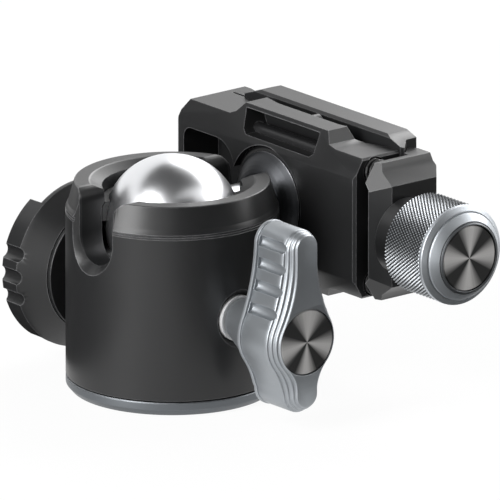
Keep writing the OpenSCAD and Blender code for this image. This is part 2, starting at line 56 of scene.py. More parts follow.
unit = 0.00086  # the head is drawn in units of 0.86 mm, so that its dovetail is 38 mm wide
ballPlace = Vector((0, 0, 30 * unit))
sideAxis = Vector((0, 0, 16.75 * unit))
spindleAxis = Vector((0, 26.2 * unit, 30 * unit))
xAxis = Vector((1, 0, 0))
yAxis = Vector((0, 1, 0))
zAxis = Vector((0, 0, 1))
print("frame loaded:", len(nodes), "nodes")


# camera, floor and light

shot = {"azimuth": 50.91, "elevation": 16.78, "lens": 1600, "sensor": 36, "clipEnd": 40,
        "frameWidth": 87.72 * unit, "aimRight": 13.6 * unit, "aimUp": 23.75 * unit}


def shotAxes():
    turn = math.radians(shot["azimuth"])
    lift = math.radians(shot["elevation"])
    back = Vector((math.sin(turn) * math.cos(lift), -math.cos(turn) * math.cos(lift), math.sin(lift)))
    right = Vector((math.cos(turn), math.sin(turn), 0))
    return right, back.cross(right), back


def addCamera():
    right, up, back = shotAxes()
    target = right * shot["aimRight"] + up * shot["aimUp"]
    data = bpy.data.cameras.new("camera")
    data.lens = shot["lens"]
    data.sensor_width = shot["sensor"]
    data.clip_end = shot["clipEnd"]
    camera = bpy.data.objects.new("camera", data)
    bpy.context.scene.collection.objects.link(camera)
    camera.location = target + back * (shot["frameWidth"] * shot["lens"] / shot["sensor"])
    camera.rotation_mode = "QUATERNION"
    camera.rotation_quaternion = (-back).to_track_quat("-Z", "Y")
    bpy.context.scene.camera = camera
    bpy.context.scene.view_settings.view_transform = "Standard"


studio = {"floorSize": 12, "floorDrop": 0.02, "floorColor": (0.9, 0.9, 0.9, 1), "floorRoughness": 0.9,
          "floorSpecular": 0.1, "floorGlow": 0.93, "skyDiffuse": 0.25, "skySeen": 1.0,
          "cardColor": (0.004, 0.004, 0.004, 1), "cardRoughness": 1, "middle": (0.008, 0.008, 0.022)}


def seenDirectly(tree):
    # 1 where the background is seen, mirrored or seen through, 0 where it only lights
    rays = addNode(tree, "ShaderNodeLightPath")
    first = addNode(tree, "ShaderNodeMath", {"operation": "MAXIMUM"})
    second = addNode(tree, "ShaderNodeMath", {"operation": "MAXIMUM"})
    tree.links.new(rays.outputs["Is Camera Ray"], first.inputs[0])
    tree.links.new(rays.outputs["Is Glossy Ray"], first.inputs[1])
    tree.links.new(first.outputs[0], second.inputs[0])
    tree.links.new(rays.outputs["Is Transmission Ray"], second.inputs[1])
    return second.outputs[0]


def addWorld():
    world = bpy.data.worlds.new("studio")
    bpy.context.scene.world = world
    world.use_nodes = True
    tree = world.node_tree
    background = tree.nodes["Background"]
    background.inputs["Color"].default_value = (1, 1, 1, 1)
    strength = tree.nodes.new("ShaderNodeMix")
    strength.inputs["A"].default_value = studio["skyDiffuse"]
    strength.inputs["B"].default_value = studio["skySeen"]
    tree.links.new(seenDirectly(tree), strength.inputs["Factor"])
    tree.links.new(strength.outputs["Result"], background.inputs["Strength"])


def addFloor():
    clearSelection()
    bpy.ops.mesh.primitive_plane_add(size=studio["floorSize"], location=(0, 0, -studio["floorDrop"] * unit))
    floor = bpy.context.object
    floor.name = "studioFloor"
    material = bpy.data.materials.new("paleFloor")
    material.use_nodes = True
    tree = material.node_tree
    paint = tree.nodes["Principled BSDF"]
    paint.inputs["Base Color"].default_value = studio["floorColor"]
    paint.inputs["Roughness"].default_value = studio["floorRoughness"]
    paint.inputs["Specular IOR Level"].default_value = studio["floorSpecular"]
    glow = addNode(tree, "ShaderNodeEmission")
    amount = addNode(tree, "ShaderNodeMath", {"operation": "MULTIPLY"}, {1: studio["floorGlow"]})
    both = addNode(tree, "ShaderNodeMixShader")
    tree.links.new(seenDirectly(tree), amount.inputs[0])
    tree.links.new(amount.outputs[0], both.inputs["Fac"])
    tree.links.new(paint.outputs["BSDF"], both.inputs[1])
    tree.links.new(glow.outputs["Emission"], both.inputs[2])
    tree.links.new(both.outputs["Shader"], tree.nodes["Material Output"].inputs["Surface"])
    floor.data.materials.append(material)


# name: direction along right, up and back of the shot, distance in metres, size, power
lamps = {
    "keyBox": {"towards": (0.45, 0.72, -0.52), "distance": 0.55, "size": (0.5, 0.4), "power": 3.2},
    "rightBox": {"towards": (0.95, 0.3, 0.0), "distance": 0.55, "size": (0.22, 0.5), "power": 1.2},
    "fillBox": {"towards": (-0.66, 0.22, 0.62), "distance": 0.5, "size": (0.24, 0.5), "power": 3.6},
}

# black cards that give metal and satin black something dark to mirror
cards = {
    "rightCard": {"towards": (0.41, -0.05, 0.9), "distance": 0.62, "size": (0.6, 1.2)},
    "topCard": {"towards": (-0.08, 0.93, 0.2), "distance": 0.5, "size": (1.4, 0.64)},
    "lowRightCard": {"spot": (0.19, 0.07, -0.0215), "size": (0.34, 0.22), "turn": 20},
    "lowLeftCard": {"spot": (-0.17, -0.07, -0.0215), "size": (0.3, 0.24), "turn": 25},
    "sideCard": {"towards": (0.86, -0.12, 0.5), "distance": 0.5, "size": (0.5, 0.8)},
    "leftCard": {"towards": (-0.97, 0.05, -0.2), "distance": 0.45, "size": (0.4, 0.5)},
}


def placeFacing(target, spec):
    if "spot" in spec:  # lies flat
        return Matrix.Translation(target + Vector(spec["spot"])) @ Matrix.Rotation(
            math.radians(spec["turn"]), 4, "Z")
    right, up, back = shotAxes()
    towards = right * spec["towards"][0] + up * spec["towards"][1] + back * spec["towards"][2]
    spot = towards.normalized() * spec["distance"]
    where = target + spot
    return Matrix.Translation(where) @ spot.to_track_quat("Z", "Y").to_matrix().to_4x4()


def addLamps():
    middle = Vector(studio["middle"])
    for name, spec in lamps.items():
        data = bpy.data.lights.new(name, "AREA")
        data.shape = "RECTANGLE"
        data.size = spec["size"][0]
        data.size_y = spec["size"][1]
        data.energy = spec["power"]
        lamp = bpy.data.objects.new(name, data)
        bpy.context.scene.collection.objects.link(lamp)
        lamp.matrix_world = placeFacing(middle, spec)


def addCards():
    middle = Vector(studio["middle"])
    material = bpy.data.materials.new("blackCard")
    material.use_nodes = True
    paint = material.node_tree.nodes["Principled BSDF"]
    paint.inputs["Base Color"].default_value = studio["cardColor"]
    paint.inputs["Roughness"].default_value = studio["cardRoughness"]
    for name, spec in cards.items():
        clearSelection()
        bpy.ops.mesh.primitive_plane_add(size=1)
        card = bpy.context.object
        card.name = name
        card.scale = (spec["size"][0], spec["size"][1], 1)
        card.matrix_world = placeFacing(middle, spec) @ Matrix.Diagonal((*card.scale, 1))
        card.data.materials.append(material)
        card.visible_camera = False
        card.visible_shadow = False
        card.visible_diffuse = False


# shader node groups

def newGroup(name, inputs, outputs):
    group = bpy.data.node_groups.new(name, "ShaderNodeTree")
    for socketName, kind, value in inputs:
        made = group.interface.new_socket(name=socketName, in_out="INPUT", socket_type=kind)
        made.default_value = value
    for socketName, kind in outputs:
        group.interface.new_socket(name=socketName, in_out="OUTPUT", socket_type=kind)
    return group, group.nodes.new("NodeGroupInput"), group.nodes.new("NodeGroupOutput")


def addNode(tree, kind, settings=None, values=None):
    made = tree.nodes.new(kind)
    for key, value in (settings or {}).items():
        setattr(made, key, value)
    for key, value in (values or {}).items():
        made.inputs[key].default_value = value
    return made


def blastedGrain():
    # fine bead-blasted grain: a slightly varied colour, roughness and height
    group, given, out = newGroup("blastedGrain", [
        ("Color", "NodeSocketColor", (0.5, 0.5, 0.5, 1)), ("Roughness", "NodeSocketFloat", 0.4),
        ("Spread", "NodeSocketFloat", 0.1), ("Scale", "NodeSocketFloat", 5000.0),
    ], [("Color", "NodeSocketColor"), ("Roughness", "NodeSocketFloat"), ("Height", "NodeSocketFloat")])
    place = addNode(group, "ShaderNodeTexCoord")
    fine = addNode(group, "ShaderNodeTexNoise", values={"Detail": 2.0, "Roughness": 0.6})
    broad = addNode(group, "ShaderNodeTexNoise", values={"Scale": 180.0, "Detail": 3.0})
    tone = addNode(group, "ShaderNodeMapRange", values={"To Min": -1.0, "To Max": 1.0})
    both = addNode(group, "ShaderNodeMath", {"operation": "ADD"})
    amount = addNode(group, "ShaderNodeMath", {"operation": "MULTIPLY"})
    lift = addNode(group, "ShaderNodeMath", {"operation": "ADD"}, {1: 1.0})
    scaled = addNode(group, "ShaderNodeVectorMath", {"operation": "SCALE"})
    rough = addNode(group, "ShaderNodeMath", {"operation": "MULTIPLY"})
    link = group.links.new
    link(place.outputs["Object"], fine.inputs["Vector"])
    link(place.outputs["Object"], broad.inputs["Vector"])
    link(given.outputs["Scale"], fine.inputs["Scale"])
    link(fine.outputs["Fac"], both.inputs[0])
    link(broad.outputs["Fac"], both.inputs[1])
    link(both.outputs[0], tone.inputs["Value"])
    tone.inputs["From Max"].default_value = 2.0
    link(tone.outputs["Result"], amount.inputs[0])
    link(given.outputs["Spread"], amount.inputs[1])
    link(amount.outputs[0], lift.inputs[0])
    link(given.outputs["Color"], scaled.inputs[0])
    link(lift.outputs[0], scaled.inputs["Scale"])
    link(scaled.outputs["Vector"], out.inputs["Color"])
    link(given.outputs["Roughness"], rough.inputs[0])
    link(lift.outputs[0], rough.inputs[1])
    link(rough.outputs[0], out.inputs["Roughness"])
    link(fine.outputs["Fac"], out.inputs["Height"])
    return group


def paintedEdgeShine():
    # mask that is 1 on edges and 0 on faces, broken up in patches, for a highlight painted on the edges
    group, given, out = newGroup("paintedEdgeShine", [
        ("Width", "NodeSocketFloat", 0.0003), ("Strength", "NodeSocketFloat", 1.0),
    ], [("Mask", "NodeSocketFloat")])
    rounded = addNode(group, "ShaderNodeBevel", {"samples": 4})
    face = addNode(group, "ShaderNodeNewGeometry")
    match = addNode(group, "ShaderNodeVectorMath", {"operation": "DOT_PRODUCT"})
    mask = addNode(group, "ShaderNodeMapRange", values={"From Min": 0.995, "From Max": 0.90})
    place = addNode(group, "ShaderNodeTexCoord")
    patch = addNode(group, "ShaderNodeTexNoise", values={"Scale": 900.0, "Detail": 3.0})
    patchy = addNode(group, "ShaderNodeMapRange", values={"From Min": 0.3, "From Max": 0.6, "To Min": 0.5})
    times = addNode(group, "ShaderNodeMath", {"operation": "MULTIPLY"})
    final = addNode(group, "ShaderNodeMath", {"operation": "MULTIPLY"})
    link = group.links.new
    link(given.outputs["Width"], rounded.inputs["Radius"])
    link(rounded.outputs["Normal"], match.inputs[0])
    link(face.outputs["Normal"], match.inputs[1])
    link(match.outputs["Value"], mask.inputs["Value"])
    link(place.outputs["Object"], patch.inputs["Vector"])
    link(patch.outputs["Fac"], patchy.inputs["Value"])
    link(mask.outputs["Result"], times.inputs[0])
    link(patchy.outputs["Result"], times.inputs[1])
    link(times.outputs[0], final.inputs[0])
    link(given.outputs["Strength"], final.inputs[1])
    link(final.outputs[0], out.inputs["Mask"])
    return group


def paintedRayHighlights():
    # painted highlights: light and dark rays round a turned face, as a factor from 0 to 1, and fine turning
    # marks as a height
    group, given, out = newGroup("paintedRayHighlights", [
        ("Centred", "NodeSocketVector", (0, 0, 0)), ("Start", "NodeSocketFloat", 0.0),
        ("Warp", "NodeSocketFloat", 0.0),
    ], [("Rays", "NodeSocketFloat"), ("Marks", "NodeSocketFloat")])
    split = addNode(group, "ShaderNodeSeparateXYZ")
    angle = addNode(group, "ShaderNodeMath", {"operation": "ARCTAN2"})
    turned = addNode(group, "ShaderNodeMath", {"operation": "MULTIPLY_ADD"}, {1: 4.0})
    warped = addNode(group, "ShaderNodeMath", {"operation": "MULTIPLY_ADD"})
    wave = addNode(group, "ShaderNodeMath", {"operation": "COSINE"})
    shifted = addNode(group, "ShaderNodeMath", {"operation": "MULTIPLY_ADD"}, {1: 0.5, 2: 0.5})
    whole = addNode(group, "ShaderNodeCombineXYZ")
    sine = addNode(group, "ShaderNodeMath", {"operation": "SINE"})
    cosine = addNode(group, "ShaderNodeMath", {"operation": "COSINE"})
    uneven = addNode(group, "ShaderNodeTexNoise", values={"Scale": 9.0, "Detail": 4.0, "Roughness": 0.7})
    little = addNode(group, "ShaderNodeMath", {"operation": "MULTIPLY_ADD"}, {1: 0.3, 2: -0.15})
    total = addNode(group, "ShaderNodeMath", {"operation": "ADD", "use_clamp": True})
    length = addNode(group, "ShaderNodeVectorMath", {"operation": "LENGTH"})
    rings = addNode(group, "ShaderNodeMath", {"operation": "MULTIPLY"}, {1: 60000.0})
    ringWave = addNode(group, "ShaderNodeMath", {"operation": "SINE"})
    link = group.links.new
    link(given.outputs["Centred"], split.inputs[0])
    link(split.outputs["Z"], angle.inputs[0])
    link(split.outputs["Y"], angle.inputs[1])
    link(angle.outputs[0], turned.inputs[0])
    link(given.outputs["Start"], turned.inputs[2])
    link(cosine.outputs[0], warped.inputs[0])
    link(given.outputs["Warp"], warped.inputs[1])
    link(turned.outputs[0], warped.inputs[2])
    link(warped.outputs[0], wave.inputs[0])
    link(wave.outputs[0], shifted.inputs[0])
    link(angle.outputs[0], sine.inputs[0])
    link(angle.outputs[0], cosine.inputs[0])
    link(sine.outputs[0], whole.inputs["X"])
    link(cosine.outputs[0], whole.inputs["Y"])
    link(whole.outputs[0], uneven.inputs["Vector"])
    link(uneven.outputs["Fac"], little.inputs[0])
    link(shifted.outputs[0], total.inputs[0])
    link(little.outputs[0], total.inputs[1])
    link(total.outputs[0], out.inputs["Rays"])
    link(given.outputs["Centred"], length.inputs[0])
    link(length.outputs["Value"], rings.inputs[0])
    link(rings.outputs[0], ringWave.inputs[0])
    link(ringWave.outputs[0], out.inputs["Marks"])
    return group


grainGroup = blastedGrain()
edgeHighlightGroup = paintedEdgeShine()
paintedRayGroup = paintedRayHighlights()


# materials

def newMaterial(name, color, roughness, metallic=0.0, specular=0.5):
    material = bpy.data.materials.new(name)
    material.use_nodes = True
    paint = material.node_tree.nodes["Principled BSDF"]
    paint.inputs["Base Color"].default_value = (*color, 1)
    paint.inputs["Roughness"].default_value = roughness
    paint.inputs["Metallic"].default_value = metallic
    paint.inputs["Specular IOR Level"].default_value = specular
    return material, material.node_tree, paint


def placeGroup(tree, group, values):
    made = tree.nodes.new("ShaderNodeGroup")
    made.node_tree = group
    for key, value in values.items():
        made.inputs[key].default_value = value
    return made


def addBump(tree, paint, height, strength, distance):
    bump = tree.nodes.new("ShaderNodeBump")
    bump.inputs["Strength"].default_value = strength
    bump.inputs["Distance"].default_value = distance
    tree.links.new(height, bump.inputs["Height"])
    tree.links.new(bump.outputs["Normal"], paint.inputs["Normal"])


def anodised(name, color, edgeHighlightColor, look):
    # blasted and anodised metal with a highlight painted on its edges
    material, tree, paint = newMaterial(name, color, look["roughness"], look["metallic"], look["specular"])
    grain = placeGroup(tree, grainGroup, {
        "Color": (*color, 1), "Roughness": look["roughness"], "Spread": look["spread"],
        "Scale": look["grain"]})
    edge = placeGroup(tree, edgeHighlightGroup, {"Width": look["edgeWidth"], "Strength": look["edge"]})
    blend = addNode(tree, "ShaderNodeMix", {"data_type": "RGBA"})
    b = next(s for s in blend.inputs if s.identifier == "B_Color")
    b.default_value = (*edgeHighlightColor, 1)
    a = next(s for s in blend.inputs if s.identifier == "A_Color")
    factor = next(s for s in blend.inputs if s.identifier == "Factor_Float")
    result = next(s for s in blend.outputs if s.identifier == "Result_Color")
    tree.links.new(grain.outputs["Color"], a)
    tree.links.new(edge.outputs["Mask"], factor)
    tree.links.new(result, paint.inputs["Base Color"])
    tree.links.new(grain.outputs["Roughness"], paint.inputs["Roughness"])
    addBump(tree, paint, grain.outputs["Height"], look["bump"], look["bumpDepth"])
    return material


# colours of the painted ray highlights, dark between the rays and light on them, and the bump of the turning
# marks
paintedRayLook = {"dark": (0.035, 0.035, 0.035), "light": (0.62, 0.61, 0.6), "roughness": 0.42, "metallic": 0.6,
            "darkUpTo": 0.15, "bump": 0.05, "bumpDepth": 0.00002}


def paintedRayDisc(name, centre, start, warp):
    # dark turned face with highlights painted on it in rays
    look = paintedRayLook
    material, tree, paint = newMaterial(name, look["light"], look["roughness"], look["metallic"])
    place = addNode(tree, "ShaderNodeTexCoord")
    centred = addNode(tree, "ShaderNodeMapping", values={"Location": -centre})
    rays = placeGroup(tree, paintedRayGroup, {"Start": start, "Warp": warp})
    ramp = addNode(tree, "ShaderNodeValToRGB")
    ramp.color_ramp.elements[0].color = (*look["dark"], 1)
    ramp.color_ramp.elements[1].color = (*look["light"], 1)
    ramp.color_ramp.elements[0].position = look["darkUpTo"]
    tree.links.new(place.outputs["Object"], centred.inputs["Vector"])
    tree.links.new(centred.outputs["Vector"], rays.inputs["Centred"])
    tree.links.new(rays.outputs["Rays"], ramp.inputs["Fac"])
    tree.links.new(ramp.outputs["Color"], paint.inputs["Base Color"])
    addBump(tree, paint, rays.outputs["Marks"], look["bump"], look["bumpDepth"])
    return material


finish = {
    "black": {"roughness": 0.34, "metallic": 0.0, "specular": 0.45, "spread": 0.12, "grain": 4500.0,
              "edge": 0.5, "edgeWidth": 0.0002, "bump": 0.12, "bumpDepth": 0.00003},
    "grey": {"roughness": 0.42, "metallic": 0.85, "specular": 0.5, "spread": 0.07, "grain": 4500.0,
             "edge": 0.6, "edgeWidth": 0.00022, "bump": 0.12, "bumpDepth": 0.00003},
    "steel": {"roughness": 0.28, "metallic": 1.0, "specular": 0.5, "spread": 0.06, "grain": 3000.0,
              "edge": 0.4, "edgeWidth": 0.0002, "bump": 0.05, "bumpDepth": 0.00002},
}
deepBlack = (0.013, 0.0132, 0.0137)
# lighter grey painted on the black edges as a highlight
blackEdgeHighlight = (0.3, 0.3, 0.31)
blackAnodised = anodised("blackAnodised", deepBlack, blackEdgeHighlight, finish["black"])
greyAnodised = anodised("greyAnodised", (0.33, 0.35, 0.37), (0.62, 0.64, 0.67), finish["grey"])
# a darker copy of the grey anodised finish, as painted shade on the base ring
shadedRingGrey = anodised("shadedRingGrey", (0.13, 0.14, 0.15), (0.6, 0.62, 0.65), finish["grey"])
darkFlange = anodised("darkFlange", (0.05, 0.052, 0.056), (0.5, 0.5, 0.52), finish["grey"])
turnedSteel = anodised("turnedSteel", (0.62, 0.63, 0.65), (0.8, 0.8, 0.82), finish["steel"])
bearingPolymer = anodised("bearingPolymer", (0.016, 0.016, 0.016), (0.03, 0.03, 0.03),
                          {**finish["black"], "roughness": 0.6})
machinedBrass = anodised("machinedBrass", (0.62, 0.45, 0.18), (0.8, 0.62, 0.3), finish["steel"])
ribbedRubber = anodised("ribbedRubber", (0.012, 0.012, 0.012), (0.02, 0.02, 0.02),
                        {**finish["black"], "roughness": 0.75, "grain": 1500.0})
blackSteel = anodised("blackSteel", (0.02, 0.02, 0.021), (0.25, 0.25, 0.26),
                      {**finish["steel"], "roughness": 0.34, "specular": 0.6, "metallic": 0.4})
brightRing = anodised("brightRing", (0.7, 0.7, 0.7), (0.9, 0.9, 0.9),
                      {**finish["steel"], "metallic": 0.4})


# along the knob's axis the knurl ends and its face begins, then radii on the knurl and on the face, and how
# dark the painted shade makes the knurl's valleys and the ring round the disc
knurlLook = {**finish["grey"], "knurlEnd": 46.5 * unit, "ringEnd": 46.6 * unit, "valley": 8.7 * unit,
             "peak": 8.92 * unit, "valleyPaintedShade": 0.04, "faceRing": 6.5 * unit, "faceBlend": 0.0001,
             "ringPaintedShade": 0.3}


def knobMetalWithPaintedShade(name, color, edgeHighlightColor, look):
    # the same metal, with shade painted between the points of the knurl and on the ring round the disc
    material = anodised(name, color, edgeHighlightColor, look)
    tree = material.node_tree
    paint = tree.nodes["Principled BSDF"]
    place = addNode(tree, "ShaderNodeTexCoord")
    split = addNode(tree, "ShaderNodeSeparateXYZ")
    away = addNode(tree, "ShaderNodeVectorMath", {"operation": "SUBTRACT"}, {1: spindleAxis})
    flat = addNode(tree, "ShaderNodeVectorMath", {"operation": "MULTIPLY"}, {1: (0, 1, 1)})
    radius = addNode(tree, "ShaderNodeVectorMath", {"operation": "LENGTH"})
    front = addNode(tree, "ShaderNodeMapRange", values={
        "From Min": look["knurlEnd"], "From Max": look["ringEnd"]})
    points = addNode(tree, "ShaderNodeMapRange", values={
        "From Min": look["valley"], "From Max": look["peak"], "To Min": look["valleyPaintedShade"]})
    face = addNode(tree, "ShaderNodeMapRange", values={
        "From Min": look["faceRing"], "From Max": look["faceRing"] + look["faceBlend"],
        "To Min": look["ringPaintedShade"]})
    share = addNode(tree, "ShaderNodeMix")
    tone = addNode(tree, "ShaderNodeVectorMath", {"operation": "SCALE"})
    link = tree.links.new
    link(place.outputs["Object"], split.inputs[0])
    link(place.outputs["Object"], away.inputs[0])
    link(away.outputs[0], flat.inputs[0])
    link(flat.outputs[0], radius.inputs[0])
    link(split.outputs["X"], front.inputs["Value"])
    link(radius.outputs["Value"], points.inputs["Value"])
    link(radius.outputs["Value"], face.inputs["Value"])
    link(front.outputs["Result"], share.inputs["Factor"])
    link(points.outputs["Result"], share.inputs["A"])
    link(face.outputs["Result"], share.inputs["B"])
    # the base colour is scaled down here as painted shade
    link(paint.inputs["Base Color"].links[0].from_socket, tone.inputs[0])
    link(share.outputs["Result"], tone.inputs["Scale"])
    link(tone.outputs["Vector"], paint.inputs["Base Color"])
    return material


knurledGreyWithPaintedShade = knobMetalWithPaintedShade("knurledGreyWithPaintedShade", (0.42, 0.445, 0.47), (0.8, 0.82, 0.85), knurlLook)
# disc faces with painted ray highlights: where the centre is, the angle at which the rays start, and how
# unevenly they spread
leverPaintedRays = paintedRayDisc("leverPaintedRays", sideAxis + xAxis * (36.9 * unit), 0.28, 1.12)
knobPaintedRays = paintedRayDisc("knobPaintedRays", spindleAxis + xAxis * (49.5 * unit), 0.28, -0.28)
capPaintedRays = paintedRayDisc("capPaintedRays", sideAxis - xAxis * (28.5 * unit), 0.4, 0.6)

chromeLook = {"color": (0.86, 0.87, 0.89), "roughness": 0.3, "least": 0.27, "most": 0.33, "haze": 260.0}


def polishedChrome():
    look = chromeLook
    material, tree, paint = newMaterial("polishedChrome", look["color"], look["roughness"], 1.0)
    place = addNode(tree, "ShaderNodeTexCoord")
    haze = addNode(tree, "ShaderNodeTexNoise", values={
        "Scale": look["haze"], "Detail": 6.0, "Roughness": 0.6})
    spread = addNode(tree, "ShaderNodeMapRange", values={"To Min": look["least"], "To Max": look["most"]})
    tree.links.new(place.outputs["Object"], haze.inputs["Vector"])
    tree.links.new(haze.outputs["Fac"], spread.inputs["Value"])
    tree.links.new(spread.outputs["Result"], paint.inputs["Roughness"])
    return material


# radius from which the housing counts as outside, height from which it counts as rim
housingLook = {**finish["black"], "outside": (17.0 * unit, 17.2 * unit), "rim": (37.6 * unit, 37.7 * unit),
               "insideSpecular": 0.12}


def housingBlack():
    # the walls inside the notches and the mouth are duller than the outside
    look = housingLook
    material = anodised("housingBlack", deepBlack, blackEdgeHighlight, look)
    tree = material.node_tree
    place = addNode(tree, "ShaderNodeTexCoord")
    flat = addNode(tree, "ShaderNodeVectorMath", {"operation": "MULTIPLY"}, {1: (1, 1, 0)})
    radius = addNode(tree, "ShaderNodeVectorMath", {"operation": "LENGTH"})
    split = addNode(tree, "ShaderNodeSeparateXYZ")
    outside, rim = [addNode(tree, "ShaderNodeMapRange", values={
        "From Min": look[edge][0], "From Max": look[edge][1]}) for edge in ("outside", "rim")]
    either = addNode(tree, "ShaderNodeMath", {"operation": "MAXIMUM"})
    gloss = addNode(tree, "ShaderNodeMapRange", values={
        "To Min": look["insideSpecular"], "To Max": look["specular"]})
    link = tree.links.new
    link(place.outputs["Object"], flat.inputs[0])
    link(place.outputs["Object"], split.inputs[0])
    link(flat.outputs[0], radius.inputs[0])
    link(radius.outputs["Value"], outside.inputs["Value"])
    link(split.outputs["Z"], rim.inputs["Value"])
    link(outside.outputs["Result"], either.inputs[0])
    link(rim.outputs["Result"], either.inputs[1])
    link(either.outputs[0], gloss.inputs["Value"])
    link(gloss.outputs["Result"], tree.nodes["Principled BSDF"].inputs["Specular IOR Level"])
    return material


chrome = polishedChrome()
slotMaterial = {"black_anodised": blackAnodised, "grey_anodised": greyAnodised,
                "polished_chrome": chrome, "spun_disc": leverPaintedRays, "dark_flange": darkFlange,
                "steel": turnedSteel, "bearing_polymer": bearingPolymer, "brass": machinedBrass,
                "rubber": ribbedRubber}
print("materials made:", len(bpy.data.materials))


# modelling helpers

def clearSelection():
    if bpy.context.object and bpy.context.object.mode != "OBJECT":
        bpy.ops.object.mode_set(mode="OBJECT")
    bpy.ops.object.select_all(action="DESELECT")


def activate(piece):
    clearSelection()
    bpy.context.view_layer.objects.active = piece
    piece.select_set(True)


def startPiece(name):
    piece = bpy.context.object
    piece.name = name
    piece.data.name = name
    return piece


def applyAll(piece):
    activate(piece)
    for modifier in list(piece.modifiers):
        bpy.ops.object.modifier_apply(modifier=modifier.name)


def pickVertices(piece, test):
    # selects only the vertices that pass the test, and makes the piece active
    activate(piece)
    mesh = piece.data
    for part in (mesh.edges, mesh.polygons):
        part.foreach_set("select", [False] * len(part))
    mesh.vertices.foreach_set("select", [bool(test(v.co)) for v in mesh.vertices])
    bpy.context.tool_settings.mesh_select_mode = (True, False, False)


def pickFaces(piece, test):
    activate(piece)
    mesh = piece.data
    for part in (mesh.edges, mesh.vertices):
        part.foreach_set("select", [False] * len(part))
    mesh.polygons.foreach_set("select", [bool(test(f)) for f in mesh.polygons])
    bpy.context.tool_settings.mesh_select_mode = (False, False, True)


def cleanMesh(piece, merge, flat):
    # joins vertices closer than merge, and faces that lie within flat degrees of one plane
    activate(piece)
    bpy.ops.object.mode_set(mode="EDIT")
    bpy.ops.mesh.select_all(action="SELECT")
    bpy.ops.mesh.remove_doubles(threshold=merge)
    bpy.ops.mesh.dissolve_limited(angle_limit=math.radians(flat))
    bpy.ops.mesh.normals_make_consistent(inside=False)
    bpy.ops.object.mode_set(mode="OBJECT")


def roundEdges(piece, width, segments, angle):
    bevel = piece.modifiers.new("rounded", "BEVEL")
    bevel.width = width
    bevel.segments = segments
    bevel.limit_method = "ANGLE"
    bevel.angle_limit = math.radians(angle)
    bevel.use_clamp_overlap = True
    bevel.harden_normals = False
    applyAll(piece)


def smooth(piece, angle, weighted=False):
    activate(piece)
    bpy.ops.object.shade_smooth_by_angle(angle=math.radians(angle))
    if weighted:  # large flat faces stay flat between rounded edges
        weigh = piece.modifiers.new("weighted", "WEIGHTED_NORMAL")
        weigh.keep_sharp = True
        weigh.weight = 100
        applyAll(piece)


def dress(piece, body, slotName, material, *replaced):
    piece.data.materials.clear()
    piece.data.materials.append(material)
    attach(piece, body)
    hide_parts(*replaced)


def bodyOf(node):
    return nodes[node]["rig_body"]


copyLook = {"merge": 0.002, "flat": 0.5, "segments": 2, "edgeAngle": 32, "smoothAngle": 35}


def copyNode(name, node, width):
    # a CAD node's shape with its edges rounded
    look = copyLook
    made = bpy.data.objects.new(name, nodes[node].data.copy())
    bpy.context.scene.collection.objects.link(made)
    cleanMesh(made, look["merge"] * unit, look["flat"])
    roundEdges(made, width * unit, look["segments"], look["edgeAngle"])
    smooth(made, look["smoothAngle"], True)
    return made


def turnProfile(name, points, centre, direction, side, steps):
    # spins a profile of (along, radius) points in units about an axis
    clearSelection()
    bpy.ops.mesh.primitive_plane_add(size=1 * unit)
    piece = startPiece(name)
    bpy.ops.object.mode_set(mode="EDIT")
    bpy.ops.mesh.select_all(action="SELECT")
    bpy.ops.mesh.merge(type="CENTER")
    where = [centre + direction * (p[0] * unit) + side * (p[1] * unit) for p in points]
    bpy.ops.transform.translate(value=where[0])
    for i in range(1, len(where)):
        bpy.ops.mesh.extrude_region_move(TRANSFORM_OT_translate={"value": where[i] - where[i - 1]})
    bpy.ops.mesh.select_all(action="SELECT")
    bpy.ops.mesh.spin(steps=steps, angle=2 * math.pi, center=centre, axis=direction)
    bpy.ops.mesh.select_all(action="SELECT")
    bpy.ops.mesh.remove_doubles(threshold=0.004 * unit)
    bpy.ops.mesh.normals_make_consistent(inside=False)
    bpy.ops.object.mode_set(mode="OBJECT")
    return piece


def cutAway(piece, tools):
    for tool in tools:
        cut = piece.modifiers.new("cut", "BOOLEAN")
        cut.operation = "DIFFERENCE"
        cut.solver = "EXACT"
        cut.object = tool
        applyAll(piece)
        bpy.data.objects.remove(tool)


# pieces that keep their CAD shape, with rounded edges: new name, node, slot, edge radius in units

roundedPieces = {
    "clampBody": ("clamp_body", "black_anodised", 0.14),
    "movableJaw": ("movable_jaw", "black_anodised", 0.14),
    "quickPlate": ("quick_plate", "black_anodised", 0.14),
    "panKnob": ("pan_knob", "black_anodised", 0.25),
    "panHub": ("pan_hub", "black_anodised", 0.15),
    "knobCollar": ("knob_collar", "black_anodised", 0.2),
    "leverBoss": ("lever_boss", "grey_anodised", 0.1),
    "baseRing": ("base_ring", "grey_anodised", 0.12),
}


def addRoundedPieces():
    for name, (node, slotName, width) in roundedPieces.items():
        piece = copyNode(name, node, width)
        # the base ring takes the darker copy of the grey finish as painted shade
        material = shadedRingGrey if name == "baseRing" else slotMaterial[slotName]
        dress(piece, bodyOf(node), slotName, material, node)
        print("rounded:", name, len(piece.data.polygons), "faces")


# ball and neck

ballSize = {"radius": 12, "neck": 4.0, "neckEnd": 22.35, "steps": 128, "arcs": 64, "smooth": 40}


def addBall():
    r = ballSize["radius"]
    neck = ballSize["neck"]
    last = math.asin(neck / r)
    points = []
    for i in range(ballSize["arcs"] + 1):
        a = math.pi - (math.pi - last) * i / ballSize["arcs"]
        points.append((r * math.cos(a), max(r * math.sin(a), 0)))
    points += [(ballSize["neckEnd"], neck), (ballSize["neckEnd"], 0)]
    piece = turnProfile("polishedBall", points, ballPlace, yAxis, xAxis, ballSize["steps"])
    smooth(piece, ballSize["smooth"])
    dress(piece, "ball_and_neck", "polished_chrome", chrome, "ball")
    print("ball made:", len(piece.data.polygons), "faces")


# housing

